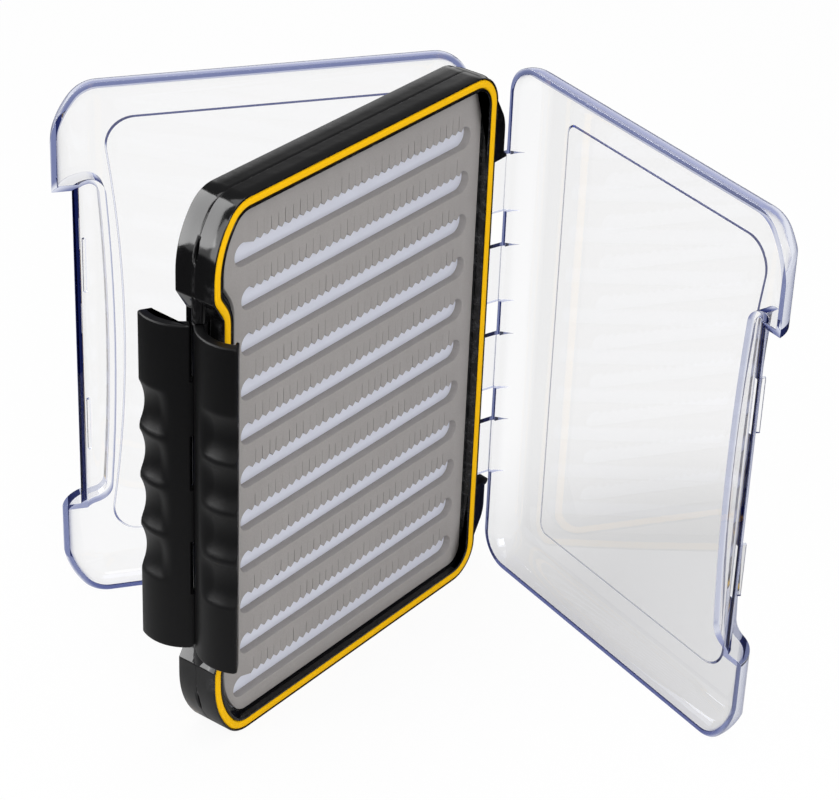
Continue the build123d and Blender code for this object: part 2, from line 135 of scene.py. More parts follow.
class Graph:
    """The node tree of one material or world."""

    def __init__(self, owner: bpy.types.ID) -> None:
        """Empties the owner's node tree and keeps it."""
        owner.use_nodes = True
        self.tree = owner.node_tree
        self.tree.nodes.clear()

    def node(self, kind: str, settings: Settings = None, inputs: Settings = None) -> Any:
        """Adds a node, then its settings, then the values or links of its sockets.

        Args:
            kind: The node's type name.
            settings: Properties of the node, set before its sockets are filled.
            inputs: Value, Signal or socket for each input, by name or number.

        Returns:
            The new node.
        """
        made = self.tree.nodes.new(kind)
        for key, value in (settings or {}).items():
            setattr(made, key, value)
        for key, value in (inputs or {}).items():
            socket = made.inputs[key]
            if isinstance(value, Signal):
                self.tree.links.new(value.socket, socket)
            elif isinstance(value, bpy.types.NodeSocket):
                self.tree.links.new(value, socket)
            elif isinstance(value, tuple) and len(value) == 3 and socket.type == "RGBA":
                socket.default_value = (*value, 1.0)
            else:
                socket.default_value = value
        return made

    def signal(self, kind: str, output: str, settings: Settings = None, inputs: Settings = None) -> Signal:
        """One output of a new node, as a number."""
        return Signal(self, self.node(kind, settings, inputs).outputs[output])

    def path(self, output: str) -> Signal:
        """What the light path says of the ray, such as Is Camera Ray."""
        return self.signal("ShaderNodeLightPath", output)

    def noise(self, scale: float, detail: float, stretch: Point = (1, 1, 1), shift: float = 0.0) -> Signal:
        """Smooth noise on Object coordinates.

        Args:
            scale: Waves in a metre.
            detail: Octaves.
            stretch: Factor along each axis.
            shift: Offset that gives each use its own pattern.

        Returns:
            The noise, from 0 to 1.
        """
        place = self.node("ShaderNodeTexCoord").outputs["Object"]
        shifts = {"Vector": place, "Location": (shift, shift, shift), "Scale": stretch}
        moved = self.node("ShaderNodeMapping", None, shifts).outputs[0]
        waves = {"Vector": moved, "Scale": scale, "Detail": detail, "Roughness": 0.55}
        return self.signal("ShaderNodeTexNoise", "Fac", None, waves)

    def blend(self, share: Any, first: Any, second: Any) -> bpy.types.NodeSocket:
        """Mixes two colours.

        Args:
            share: How much of the second colour, from 0 to 1.
            first: Colour where share is 0.
            second: Colour where share is 1.

        Returns:
            The mixed colour's socket.
        """
        return self.node("ShaderNodeMix", {"data_type": "RGBA"}, {0: share, 6: first, 7: second}).outputs[2]

    def bump(self, height: Signal, distance: float, strength: float = 1.0) -> bpy.types.NodeSocket:
        """Normal of a surface with fine relief of the given height in metres."""
        relief = {"Strength": strength, "Distance": distance, "Height": height}
        return self.node("ShaderNodeBump", None, relief).outputs["Normal"]

    def edges(self) -> Signal:
        """1 on a mesh's outer edges and 0 elsewhere, from its own curvature."""
        return self.signal("ShaderNodeNewGeometry", "Pointiness").ramp(0.51, 0.60)

    def facing(self) -> Signal:
        """0 where a surface is seen square on, rising to 1 at its outline."""
        return self.signal("ShaderNodeLayerWeight", "Facing", None, {"Blend": 0.5})

    def principled(self, tone: Any, rough: Any, skin: Any, more: Settings = None) -> Any:
        """A Principled surface.

        Args:
            tone: Base colour.
            rough: Roughness.
            skin: Normal.
            more: Plain values of further sockets.

        Returns:
            The surface's socket.
        """
        inputs = {"Base Color": tone, "Roughness": rough, "Normal": skin, **(more or {})}
        return self.node("ShaderNodeBsdfPrincipled", None, inputs).outputs[0]

    def film(self, colour: Colour) -> bpy.types.NodeSocket:
        """A tint that light passes straight through."""
        return self.node("ShaderNodeBsdfTransparent", None, {"Color": colour}).outputs[0]

    def mixed(self, share: Signal, first: Any, second: Any) -> bpy.types.NodeSocket:
        """A surface between two others, the second where share is 1."""
        return self.node("ShaderNodeMixShader", None, {0: share, 1: first, 2: second}).outputs[0]

    def finish(self, surface: bpy.types.NodeSocket) -> None:
        """Joins the surface to the output."""
        owner = "World" if isinstance(self.tree.id_data, bpy.types.World) else "Material"
        self.node(f"ShaderNodeOutput{owner}", None, {"Surface": surface})


def scaled(colour: Colour, factor: float) -> Colour:
    """A colour made darker or paler by a factor, up to white."""
    return tuple(min(c * factor, 1.0) for c in colour)


# ------------------------------------------------------------------ finishes


@dataclass(frozen=True)
class Finish:
    """A finish that pieces are dressed in.

    Attributes:
        name: Name of the material.
        colour: Main colour, linear.
        roughness: Roughness in the middle of its range.
        specular: Strength of its gloss.
    """

    name: str
    colour: Colour
    roughness: float = 0.5
    specular: float = 0.5

    def surface(self, graph: Graph) -> bpy.types.NodeSocket:
        """Builds the shader. Each finish has its own."""
        raise NotImplementedError

    def gloss(self) -> dict[str, float]:
        """The gloss's strength, as a socket's value."""
        return {"Specular IOR Level": self.specular}

    def material(self) -> bpy.types.Material:
        """The material, made once and then found by its name."""
        found = bpy.data.materials.get(self.name)
        if found is not None:
            return found
        made = bpy.data.materials.new(self.name)
        graph = Graph(made)
        graph.finish(self.surface(graph))
        return made


@dataclass(frozen=True)
class GlossPlastic(Finish):
    """Black plastic from a polished mould, with faint flow marks, dust and worn edges."""

    worn: Colour = (0.11, 0.11, 0.115)

    def surface(self, graph: Graph) -> bpy.types.NodeSocket:
        """Gloss that softens in patches, over a slightly uneven skin."""
        flow = graph.noise(38.0, 3.0, (1.0, 1.0, 0.35))
        dust = graph.noise(2600.0, 2.0, shift=3.1).ramp(0.70, 0.80)
        wear = graph.edges() * graph.noise(420.0, 4.0, shift=1.7).ramp(0.35, 0.70)
        tone = graph.blend(flow, scaled(self.colour, 0.75), self.colour)
        tone = graph.blend((wear * 0.22 + dust * 0.06).clamped(), tone, self.worn)
        rough = flow * 0.10 + dust * 0.16 + wear * 0.22 + (self.roughness - 0.05)
        skin = graph.bump(graph.noise(120.0, 2.0, shift=5.0) + graph.noise(2200.0, 2.0) * 0.06, 0.00007)
        return graph.principled(tone, rough, skin, self.gloss())


@dataclass(frozen=True)
class SatinPlastic(Finish):
    """Black plastic from a finely blasted mould: satin, with a fine grain and handled edges."""

    worn: Colour = (0.09, 0.09, 0.095)

    def surface(self, graph: Graph) -> bpy.types.NodeSocket:
        """A soft sheen broken by grain, smoother where fingers rub."""
        grain = graph.noise(5200.0, 2.0)
        rubbed = graph.noise(70.0, 4.0, (1.0, 1.0, 0.5), 2.2)
        wear = graph.edges() * graph.noise(300.0, 4.0, shift=4.4).ramp(0.30, 0.70)
        tone = graph.blend(rubbed, scaled(self.colour, 0.70), self.colour)
        tone = graph.blend((wear * 0.25).clamped(), tone, self.worn)
        rough = grain * 0.10 + rubbed * -0.14 + (self.roughness + 0.04)
        return graph.principled(tone, rough, graph.bump(grain, 0.00003), self.gloss())


@dataclass(frozen=True)
class SealRubber(Finish):
    """Soft moulded rubber of the seal."""

    grimy: Colour = (0.48, 0.25, 0.01)

    def surface(self, graph: Graph) -> bpy.types.NodeSocket:
        """Even colour with faint clouding, and a fine skin."""
        cloud = graph.noise(90.0, 4.0)
        grime = graph.noise(900.0, 4.0, shift=1.3).ramp(0.62, 0.85)
        tone = graph.blend(cloud, self.colour, scaled(self.colour, 1.06))
        tone = graph.blend(grime * 0.16, tone, self.grimy)
        rough = cloud * 0.14 + (self.roughness - 0.06)
        skin = graph.bump(graph.noise(3200.0, 2.0, shift=2.0) * 0.4 + cloud, 0.00004)
        return graph.principled(tone, rough, skin, self.gloss())


@dataclass(frozen=True)
class CellFoam(Finish):
    """Closed-cell foam sheet with a cut skin."""

    def surface(self, graph: Graph) -> bpy.types.NodeSocket:
        """Matt speckle of cells over faint vertical cutting streaks."""
        cells = graph.noise(2400.0, 3.0)
        streak = graph.noise(260.0, 3.0, (1.0, 1.0, 0.12), 0.7)
        cloud = graph.noise(24.0, 3.0, shift=6.0)
        share = (cells * 0.6 + streak * 0.3 + cloud * 0.2 - 0.05).clamped()
        tone = graph.blend(share, scaled(self.colour, 0.80), scaled(self.colour, 1.14))
        rough = cells * 0.12 + (self.roughness - 0.06)
        return graph.principled(tone, rough, graph.bump(cells + streak * 0.4, 0.00009, 0.8), self.gloss())


@dataclass(frozen=True)
class MilkySheet(Finish):
    """Stiff pale sheet between the foam sheets."""

    def surface(self, graph: Graph) -> bpy.types.NodeSocket:
        """Pale, slightly mottled plastic with a dull shine."""
        mottle = graph.noise(180.0, 4.0)
        tone = graph.blend(mottle, scaled(self.colour, 0.96), scaled(self.colour, 1.03))
        rough = mottle * 0.12 + (self.roughness - 0.06)
        return graph.principled(tone, rough, graph.bump(graph.noise(1500.0, 3.0, shift=1.0), 0.00004))


@dataclass(frozen=True)
class DrawnSteel(Finish):
    """Bright wire with fine marks along it from drawing."""

    def surface(self, graph: Graph) -> bpy.types.NodeSocket:
        """Metal whose roughness and relief run along the wire."""
        marks = graph.noise(5200.0, 3.0, (1.0, 1.0, 0.02))
        tone = graph.blend(marks, scaled(self.colour, 0.85), self.colour)
        rough = marks * 0.16 + (self.roughness - 0.08)
        return graph.principled(tone, rough, graph.bump(marks, 0.00002), {"Metallic": 1.0})


@dataclass(frozen=True)
class ClearPlastic(Finish):
    """Clear moulded plastic, which bends what is seen through it and turns dark blue seen edge on: partly its
    own tint, partly painted shade.

    Attributes:
        clear: Colour that light keeps as it passes one skin, seen square on.
        shadow: Colour of the light that passes to what lies behind.
        shallow: Colour that light keeps after a short run inside a wall.
        depth: Colour that light keeps once it has run along inside a wall.
        run: Shortest and longest run inside a wall, in metres, between which it turns so.
        bend: Index of refraction.
        line: Painted shade on a step's wall: nearly black, for the dark line that bending at the step gives.
        lines: Attribute that is 1 on the faces of such a wall.
    """

    clear: Colour = (0.985, 0.985, 0.988)
    shadow: Colour = (0.94, 0.94, 0.95)
    shallow: Colour = (0.86, 0.88, 0.95)
    depth: Colour = (0.20, 0.23, 0.42)
    run: tuple[float, float] = (0.0004, 0.009)
    bend: float = 1.47
    line: Colour = (0.012, 0.014, 0.05)
    lines: str = "step_wall"

    def surface(self, graph: Graph) -> bpy.types.NodeSocket:
        """Glass to the eye, and a faint film to lamps and to soft light, so that it casts a light shadow."""
        soft = graph.path("Is Shadow Ray").larger(graph.path("Is Diffuse Ray"))
        trapped = graph.path("Glossy Depth").clamped() * (1.0 - soft)
        # Towards the outline the colour turns dark blue: partly the plastic's own tint over a long run,
        # partly painted shade for the dark surroundings that the rounded edges bend into view
        tone = graph.blend(graph.facing().ramp(0.55, 0.88), self.clear, self.colour)
        # Painted shade: the step's wall is painted nearly black for the dark line that bending at the step
        # gives
        wall = graph.signal("ShaderNodeAttribute", "Fac", {"attribute_name": self.lines})
        tone = graph.blend(wall, tone, self.line)
        scuffs = graph.noise(900.0, 3.0, (1.0, 1.0, 0.25), 8.0).ramp(0.68, 0.80)
        skin = graph.bump(graph.noise(24.0, 2.0) + scuffs * 0.02, 0.00010, 0.5)
        rough = scuffs * 0.10 + self.roughness
        glass = graph.principled(tone, rough, skin, {"IOR": self.bend, "Transmission Weight": 1.0})
        along = graph.path("Ray Length").ramp(*self.run)
        inner = graph.mixed(along, graph.film(self.shallow), graph.film(self.depth))
        return graph.mixed(soft, graph.mixed(trapped, glass, inner), graph.film(self.shadow))


GLOSS_BLACK = GlossPlastic("gloss_black_plastic", (0.005, 0.005, 0.0055), 0.10)
SATIN_BLACK = SatinPlastic("satin_black_plastic", (0.004, 0.004, 0.0045), 0.32, 0.22)
SEAL_YELLOW = SealRubber("yellow_seal_rubber", (0.90, 0.50, 0.002), 0.42, 0.06)
FOAM_GREY = CellFoam("grey_cell_foam", (0.335, 0.318, 0.310), 0.90, 0.25)
SHEET_PALE = MilkySheet("pale_blue_sheet", (0.74, 0.76, 0.86), 0.45)
STEEL = DrawnSteel("drawn_steel", (0.62, 0.62, 0.63), 0.28)
CLEAR = ClearPlastic("clear_plastic", (0.46, 0.49, 0.72), 0.01)


# ------------------------------------------------------------------ surfaces


def unit(vectors: Array) -> Array:
    """Vectors made one long."""
    return vectors / np.linalg.norm(vectors, axis=-1, keepdims=True)


def placed(x: Any, y: Any, z: Any) -> Array:
    """Points in the shared frame, with z measured from the box's middle height."""
    return np.stack(np.broadcast_arrays(x, y, z + HALF_LENGTH), -1)


def outward(loop: Array) -> Array:
    """Unit normals of an anticlockwise loop of points, (n, 2)."""
    along = unit(np.roll(loop, -1, 0) - np.roll(loop, 1, 0))
    return np.stack([along[:, 1], -along[:, 0]], 1)


def arc(middle: tuple[float, float], radius: float, first: float, last: float, count: int) -> Array:
    """Points on an arc.

    Args:
        middle: Its centre.
        radius: Its radius.
        first: Angle where it begins, in degrees.
        last: Angle where it ends.
        count: How many points.

    Returns:
        The points, (count, 2).
    """
    turn = np.radians(np.linspace(first, last, count))
    return np.array(middle) + radius * np.stack([np.cos(turn), np.sin(turn)], 1)


def soft_ends(low: float, high: float, edge: float) -> tuple[Array, Array]:
    """Rows of an upright form whose ends are rounded: inwards by edge (1 - sin v), along by edge (1 - cos v).

    Args:
        low: Its lower end.
        high: Its upper end.
        edge: Rounding of the ends.

    Returns:
        How far in and how high each row lies.
    """
    inward, rise = edge * (1 - np.sin(QUARTER)), edge * (1 - np.cos(QUARTER))
    return np.concatenate([inward, inward[::-1]]), np.concatenate([low + rise, (high - rise)[::-1]])


def rounded_path(corners: Array, radii: Array, steps: int, runs: int = 0) -> Array:
    """Points along a closed path whose corners are rounded.

    With unit directions a and b into and out of corner P, turn t from a to b, and n(a) a turned a
    quarter to the left, the arc's centre is P + s (n(a) + n(b)) r / (1 + a.b), where s is the sign
    of the turn, and its points are centre - s r n(a) turned by 0..t.

    Args:
        corners: Corner points, (..., n, 2).
        radii: Radius at each corner, (..., n).
        steps: Points on each arc.
        runs: Points added on each straight run.

    Returns:
        The points, (..., m, 2).
    """
    into = unit(corners - np.roll(corners, 1, -2))
    out = unit(np.roll(corners, -1, -2) - corners)
    left_in = np.stack([-into[..., 1], into[..., 0]], -1)
    left_out = np.stack([-out[..., 1], out[..., 0]], -1)
    cross = into[..., 0] * out[..., 1] - into[..., 1] * out[..., 0]
    dot = (into * out).sum(-1)
    sign = np.where(cross < 0, -1.0, 1.0)
    reach = sign * radii / (1 + dot)
    centre = corners + (left_in + left_out) * reach[..., None]
    angle = np.arctan2(cross, dot)[..., None] * np.linspace(0, 1, steps)
    normal = np.stack(
        [
            left_in[..., :1] * np.cos(angle) - left_in[..., 1:] * np.sin(angle),
            left_in[..., :1] * np.sin(angle) + left_in[..., 1:] * np.cos(angle),
        ],
        -1,
    )
    arcs = centre[..., None, :] - (sign * radii)[..., None, None] * normal
    if runs:
        share = (np.arange(1, runs + 1) / (runs + 1))[:, None]
        nexts = np.roll(arcs, -1, -3)[..., :1, :]
        arcs = np.concatenate([arcs, arcs[..., -1:, :] * (1 - share) + nexts * share], -2)
    return arcs.reshape(*arcs.shape[:-3], -1, 2)


@dataclass(frozen=True)
class Outline:
    """A rounded outline in the box's plane, whose parallels share one set of points.

    Attributes:
        corners: Corner points (x, z) from the box's middle height, anticlockwise.
        rounds: Rounding at each corner.
        steps: Points on each rounding.
        runs: Points on each straight run.
    """

    corners: tuple[tuple[float, float], ...]
    rounds: tuple[float, ...]
    steps: int = 11
    runs: int = 5

    def rings(self, inset: Array, shift: Array) -> Array:
        """The outline moved inwards, and its latch side towards the hinge.

        Args:
            inset: Distance inwards of each ring, (rows,).
            shift: Distance that the latch side draws in further, (rows,).

        Returns:
            Points (x, z) of each ring, (rows, count, 2).
        """
        base = np.array(self.corners)
        into = unit(base - np.roll(base, 1, 0))
        out = unit(np.roll(base, -1, 0) - base)
        left = np.stack([-(into[:, 1] + out[:, 1]), into[:, 0] + out[:, 0]], 1)
        left = left / (1 + (into * out).sum(1))[:, None]
        sign = np.where(into[:, 0] * out[:, 1] - into[:, 1] * out[:, 0] < 0, -1.0, 1.0)
        moved = base + inset[:, None, None] * left
        moved[..., 0] += shift[:, None] * (base[:, 0] < 0)
        radii = np.array(self.rounds) - sign * inset[:, None]
        return rounded_path(moved, radii, self.steps, self.runs)


class Patchwork:
    """Collects surface patches in millimetres and makes one mesh object of them."""

    def __init__(self) -> None:
        """Starts with nothing."""
        self.points: list[Array] = []
        self.faces: list[list[int]] = []
        self.count = 0

    def _keep(self, points: Array) -> int:
        """Adds points and returns the number of the first."""
        first = self.count
        self.points.append(points.reshape(-1, 3))
        self.count += self.points[-1].shape[0]
        return first

    def grid(self, points: Array, wrap_rows: bool = False, wrap_columns: bool = False) -> Array:
        """Adds a grid of points as four-sided faces.

        Args:
            points: Grid of points, (rows, columns, 3).
            wrap_rows: Whether the last row joins the first.
            wrap_columns: Whether the last column joins the first.

        Returns:
            The points' numbers, (rows, columns).
        """
        rows, columns = points.shape[:2]
        number = self._keep(points) + np.arange(rows * columns).reshape(rows, columns)
        body = np.concatenate([number, number[:1]], 0) if wrap_rows else number
        body = np.concatenate([body, body[:, :1]], 1) if wrap_columns else body
        quads = np.stack([body[:-1, :-1], body[:-1, 1:], body[1:, 1:], body[1:, :-1]], -1)
        self.faces += quads.reshape(-1, 4).tolist()
        return number

    def block(self, points: Array) -> None:
        """Adds a grid whose columns go round, and closes both of its ends."""
        number = self.grid(points, False, True)
        self.faces += [number[0].tolist(), number[-1].tolist()]

    def fill(self, points: Array, triangles: Array) -> None:
        """Adds points with ready triangles."""
        self.faces += (triangles + self._keep(points)).tolist()

    def piece(self, name: str, finish: Finish, crease: float = 32.0, outwards: bool = True) -> Object:
        """Makes the object.

        Args:
            name: The object's name.
            finish: What it is dressed in.
            crease: Angle in degrees over which an edge stays sharp.
            outwards: Whether faces are turned outwards by the mesh itself.

        Returns:
            The new object, at the origin.
        """
        mesh = bpy.data.meshes.new(name)
        mesh.from_pydata(np.concatenate(self.points) * MM, [], self.faces)
        form = bmesh.new()
        form.from_mesh(mesh)
        bmesh.ops.remove_doubles(form, verts=form.verts, dist=2e-6)
        bmesh.ops.dissolve_degenerate(form, edges=form.edges, dist=1e-6)
        if outwards:
            bmesh.ops.recalc_face_normals(form, faces=form.faces)
        form.to_mesh(mesh)
        form.free()
        mesh.shade_smooth()
        mesh.set_sharp_from_angle(angle=np.radians(crease))
        return new_object(name, mesh, finish)


def new_object(name: str, mesh: bpy.types.Mesh, finish: Finish) -> Object:
    """An object of a mesh, in the scene and dressed in a finish."""
    made = bpy.data.objects.new(name, mesh)
    bpy.context.scene.collection.objects.link(made)
    mesh.materials.append(finish.material())
    return made


def inside(points: Array, loop: Array) -> Array:
    """Whether points lie in a loop: a ray to the right crosses its edges an odd number of times.

    Args:
        points: Points to test, (n, 2).
        loop: The loop's points, (m, 2).

    Returns:
        True for each point inside, (n,).
    """
    a, b = loop, np.roll(loop, -1, 0)
    x, z = points[:, :1], points[:, 1:]
    spans = (a[:, 1] > z) != (b[:, 1] > z)
    rise = np.where(b[:, 1] == a[:, 1], 1.0, b[:, 1] - a[:, 1])
    crossing = a[:, 0] + (z - a[:, 1]) * (b[:, 0] - a[:, 0]) / rise
    return (spans & (x < crossing)).sum(1) % 2 == 1


def in_depth(rings: Array, depth: Array, side: Side) -> Array:
    """Puts rings (x, z) at their depths, towards the front or the rear.

    Args:
        rings: Points (x, z) from the middle height, (rows, count, 2).
        depth: Distance of each row from the middle of the box.
        side: Face of the box.

    Returns:
        Points in the shared frame, (rows, count, 3).
    """
    return placed(rings[..., 0], side.towards * depth[:, None], rings[..., 1])


def turned(points: Array, pivot_x: float, degrees: float) -> Array:
    """Turns points about the upright line through (pivot_x, 0)."""
    cos, sin = np.cos(np.radians(degrees)), np.sin(np.radians(degrees))
    x, y = points[..., 0] - pivot_x, points[..., 1]
    return np.stack([pivot_x + x * cos - y * sin, x * sin + y * cos, points[..., 2]], -1)


def flipped(points: Array) -> Array:
    """Turns points half round about the line through the hinge and latch sides."""
    return points * np.array([1.0, -1.0, -1.0]) + np.array([0.0, 0.0, 2 * HALF_LENGTH])


def bake_modifiers(obj: Object) -> None:
    """Makes an object's modifiers part of its mesh."""
    bpy.context.view_layer.update()
    shown = obj.evaluated_get(bpy.context.evaluated_depsgraph_get())
    mesh = bpy.data.meshes.new_from_object(shown)
    obj.modifiers.clear()
    obj.data = mesh


def cut(obj: Object, cutter: Object) -> None:
    """Takes the cutter's space out of an object, for good."""
    step = obj.modifiers.new("cut", "BOOLEAN")
    step.operation, step.solver, step.object = "DIFFERENCE", "EXACT", cutter
    step.use_self = True
    bake_modifiers(obj)


def dressed(obj: Object, body: str, node: str) -> None:
    """Lets a piece ride on its body and stand for its node, and reports it."""
    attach(obj, body)
    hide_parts(node)
    log.info("%s: %d faces on %s", obj.name, len(obj.data.polygons), body)


# ------------------------------------------------------------------ sub-assemblies

FRAME_CORNERS = (
    (65.4, 90.7),
    (-55.6, 90.7),
    (-65.4, 77.8),
    (-65.4, 62.4),
    (-61.1, 55.8),
    (-61.1, -55.8),
    (-65.4, -62.4),
    (-65.4, -77.8),
    (-55.6, -90.7),
    (65.4, -90.7),
)
# The jogs beside the latches are soft within the frame's face and crisp on its wall
FRAME_OUTLINE = Outline(FRAME_CORNERS, (11.0, 11.5, 29.0, 7.0, 7.0, 7.0, 7.0, 29.0, 11.5, 11.0))
WALL_OUTLINE = Outline(FRAME_CORNERS, (11.0, 11.5, 29.0, 1.3, 1.3, 1.3, 1.3, 29.0, 11.5, 11.0))


@dataclass
class MiddleFrame:
    """The black frame's two halves, with hinge knuckles, guards and latch lugs.

    Attributes:
        face: Depth of the frame's face from the middle.
        wall: Inset of the groove's outer wall.
        lip: Insets of the lip's two sides, between groove and foam.
        groove: Depth of the seal groove's floor.
        pocket: Depth of the ledge round the foam.
        pocket_inset: Inset of the foam's pocket.
        clamp: Inset and depth of the seat that clamps the sheet.
        edge: Rounding of the outer edge.
        parting: Depth of the hairline along the parting line.
        hairline: Half width of that hairline.
        knuckle_pitch: Distance between the hinge knuckles.
        knuckle_height: Height of a hinge knuckle.
        knuckle_radius: Radius of a hinge knuckle.
        knuckle_root: Place of a knuckle's root, inside the wall.
        lug_radius: Radius of a latch lug.
        lug_height: Height of a latch lug, and how far its middle lies from the middle height.
        lug_root: Place of a lug's root and of its shoulder, inside the wall.
        block_edge: Rounding of the ends of knuckles and of lugs.
        channel: Radius and half height of the hollow where the latch barrels turn.
        guard_half: Depth of a guard's face.
        guard_round: Rounding of a guard's outer side.
        guard_draft: Share of that rounding by which every other side draws in.
        guard_corners: Corners (x, z) of the upper guard.
        guard_rounds: Rounding at each of them.
        slit_size: Half width and half height of the slits over the latch pin.
        slit_reach: Places between which a slit's cutter lies.
        slit_place: How far a slit's middle lies from the middle height.
        slit_taper: Share of its width that a slit loses towards its outer end.
    """

    face: float = 7.1
    wall: float = 0.6
    lip: tuple[float, float] = (3.4, 4.3)
    groove: float = 5.8
    pocket: float = 4.3
    pocket_inset: float = 4.7
    clamp: tuple[float, float] = (3.9, 0.8)
    edge: float = 0.40
    parting: float = 0.10
    hairline: float = 0.16
    knuckle_pitch: float = 32.2
    knuckle_height: float = 11.5
    knuckle_radius: float = 3.5
    knuckle_root: float = 62.8
    lug_radius: float = 2.3
    lug_height: tuple[float, float] = (8.0, 58.4)
    lug_root: tuple[float, float] = (-58.4, -61.0)
    block_edge: tuple[float, float] = (0.35, 0.25)
    channel: tuple[float, float] = (2.75, 53.9)
    guard_half: float = 6.5
    guard_round: float = 3.0
    guard_draft: float = 0.12
    guard_corners: tuple[tuple[float, float], ...] = (
        (72.7, 58.65),
        (72.7, 71.4),
        (61.7, 90.2),
        (54.4, 90.2),
        (54.4, 88.2),
        (62.9, 88.2),
        (62.9, 58.65),
    )
    guard_rounds: tuple[float, ...] = (0.7, 12.0, 8.0, 0.1, 0.1, 8.5, 0.3)
    slit_size: tuple[float, float] = (0.62, 3.6)
    slit_reach: tuple[float, float] = (-69.0, -62.9)
    slit_place: float = 76.2
    slit_taper: float = 0.25
    finish: Finish = GLOSS_BLACK

    def profile(self, side: Side) -> tuple[Array, Array]:
        """The frame's section.

        Args:
            side: Face of the box; the rear half has the hairline of the parting.

        Returns:
            Rounded path (inset, depth), and how far the latch side draws in at each point.
        """
        sunk = self.parting if side is Side.REAR else 0.0
        seam = [(0.0, 0.7, 0.0), (0.0, 0.4, 0.0)]
        if sunk:
            seam = [(0.0, self.hairline, 0.04), (sunk, self.hairline, 0.0)]
        inner = [
            (self.clamp[0], 0.0, 0.0),
            (self.clamp[0], self.clamp[1], 0.0),
            (self.pocket_inset, self.clamp[1], 0.0),
            (self.pocket_inset, self.pocket, 0.0),
        ]
        outer = [
            (self.lip[1], self.pocket, 0.15),
            (self.lip[1], self.face, 0.25),
            (self.lip[0], self.face, 0.18),
            (self.lip[0], self.groove, 0.0),
            (self.wall, self.groove, 0.0),
            (self.wall, self.face, 0.18),
            (0.0, self.face, self.edge),
            *[(0.0, depth, 0.0) for depth in (3.2, 2.6, 1.9, 1.3)],
            *seam,
            (sunk, 0.0, 0.0),
        ]
        table = np.array(inner + outer)
        steps = 4
        drawn_in = np.where(np.arange(len(table)) < len(inner), LEDGE, 0.0)
        return rounded_path(table[:, :2], table[:, 2], steps), np.repeat(drawn_in, steps)

    def channelled(self, points: Array) -> Array:
        """Draws the wall in where the latch barrels turn: x is at least pin_x + sqrt(r^2 - y^2)."""
        radius, half = self.channel
        hollow = LATCH_PIN_X + np.sqrt(np.clip(radius**2 - points[..., 1] ** 2, 0, None))
        here = (np.abs(points[..., 2] - HALF_LENGTH) < half) & (points[..., 0] < -60)
        points[..., 0] = np.where(here, np.maximum(points[..., 0], hollow), points[..., 0])
        return points

    def ring_body(self, work: Patchwork, side: Side) -> None:
        """Carries the section round the outline, with crisp jogs on the wall alone."""
        path, shift = self.profile(side)
        soft = FRAME_OUTLINE.rings(path[:, 0], shift)
        crisp = WALL_OUTLINE.rings(np.minimum(path[:, 0], self.wall), shift)
        flat = np.where((path[:, 0] < 0.5)[:, None, None], crisp, soft)
        work.grid(self.channelled(in_depth(flat, path[:, 1], side)), True, True)

    def upright(
        self, work: Patchwork, section: Array, low: float, height: float, edge: float, side: Side
    ) -> None:
        """Adds a short upright block with slightly rounded ends.

        Args:
            work: Where the block goes.
            section: Points (x, depth) of its outline.
            low: Its lower end from the middle height.
            height: Its height.
            edge: Rounding of the ends, which draw in towards the section's middle.
            side: Face of the box.
        """
        inward, z = soft_ends(low, low + height, edge)
        away = section - section.mean(0)
        size = np.linalg.norm(away, axis=1, keepdims=True)
        flat = section.mean(0) + away * (1 - inward[:, None, None] / size)
        work.block(placed(flat[..., 0], side.towards * flat[..., 1], z[:, None]))

    def knuckle_section(self) -> Array:
        """Half of a hinge knuckle: a quarter-round about the pin on a block that joins the frame."""
        r, root = self.knuckle_radius, self.knuckle_root
        block = np.array([[root, 0.0], [root, r / 2], [root, r], [FRAME_CORNERS[0][0], r]])
        return np.concatenate([block, arc((HINGE_X, 0.0), r, 90, 0, 15)])

    def lug_section(self) -> Array:
        """Half of a latch lug: a quarter-round about the latch pin on a block that joins the frame."""
        r, (root, shoulder) = self.lug_radius, self.lug_root
        block = np.array([[root, 0.0], [root, r / 2], [root, r], [shoulder, r]])
        return np.concatenate([block, arc((LATCH_PIN_X, 0.0), r, 90, 180, 11)])

    def guard(self, work: Patchwork, side: Side, end: float) -> None:
        """Adds the half guard that covers one end of the hinge.

        Its outline (x, z) is carried from the middle to the guard's face, and its outward points
        move in by n_x r (1 - cos v) while the depth goes on by r sin v.

        Args:
            work: Where it goes.
            side: Face of the box.
            end: 1 at the top and -1 at the bottom.
        """
        ring = rounded_path(np.array(self.guard_corners), np.array(self.guard_rounds), 13, 3)
        normal = outward(ring)
        share = np.clip(normal[:, 0], 0, None) + self.guard_draft
        v = np.radians(np.linspace(0, 90, 9))
        r = self.guard_round
        inward = np.concatenate([[0.0, 0.0], r * (1 - np.cos(v))])
        depth = np.concatenate([[0.0, 2.0], self.guard_half - r + r * np.sin(v)])
        rings = ring - normal * (share[None, :] * inward[:, None])[..., None]
        work.block(in_depth(rings * np.array([1.0, end]), depth, side))

    def half(self, side: Side) -> Object:
        """Builds one half of the frame.

        Args:
            side: Face of the box.

        Returns:
            The half's object.
        """
        work = Patchwork()
        self.ring_body(work, side)
        for step in (-1, 0, 1):
            low = step * self.knuckle_pitch - self.knuckle_height / 2
            self.upright(work, self.knuckle_section(), low, self.knuckle_height, self.block_edge[0], side)
        height, place = self.lug_height
        for end in (-1, 1):
            self.guard(work, side, end)
            self.upright(work, self.lug_section(), end * place - height / 2, height, self.block_edge[1], side)
        return work.piece(f"frame_{side.value}_half", self.finish, 28.0)

    def slit(self, end: int) -> Object:
        """The space over one end of the latch pin: a slot that tapers towards its outer end."""
        t = np.radians(np.linspace(0, 360, 33)[:-1])
        width, height = self.slit_size
        y = width * np.sin(t) * (1 - self.slit_taper * np.cos(t) * end)
        x = np.array(self.slit_reach)[:, None]
        work = Patchwork()
        work.block(placed(x, y, height * np.cos(t) + end * self.slit_place))
        return work.piece(f"slit_{end}", self.finish)

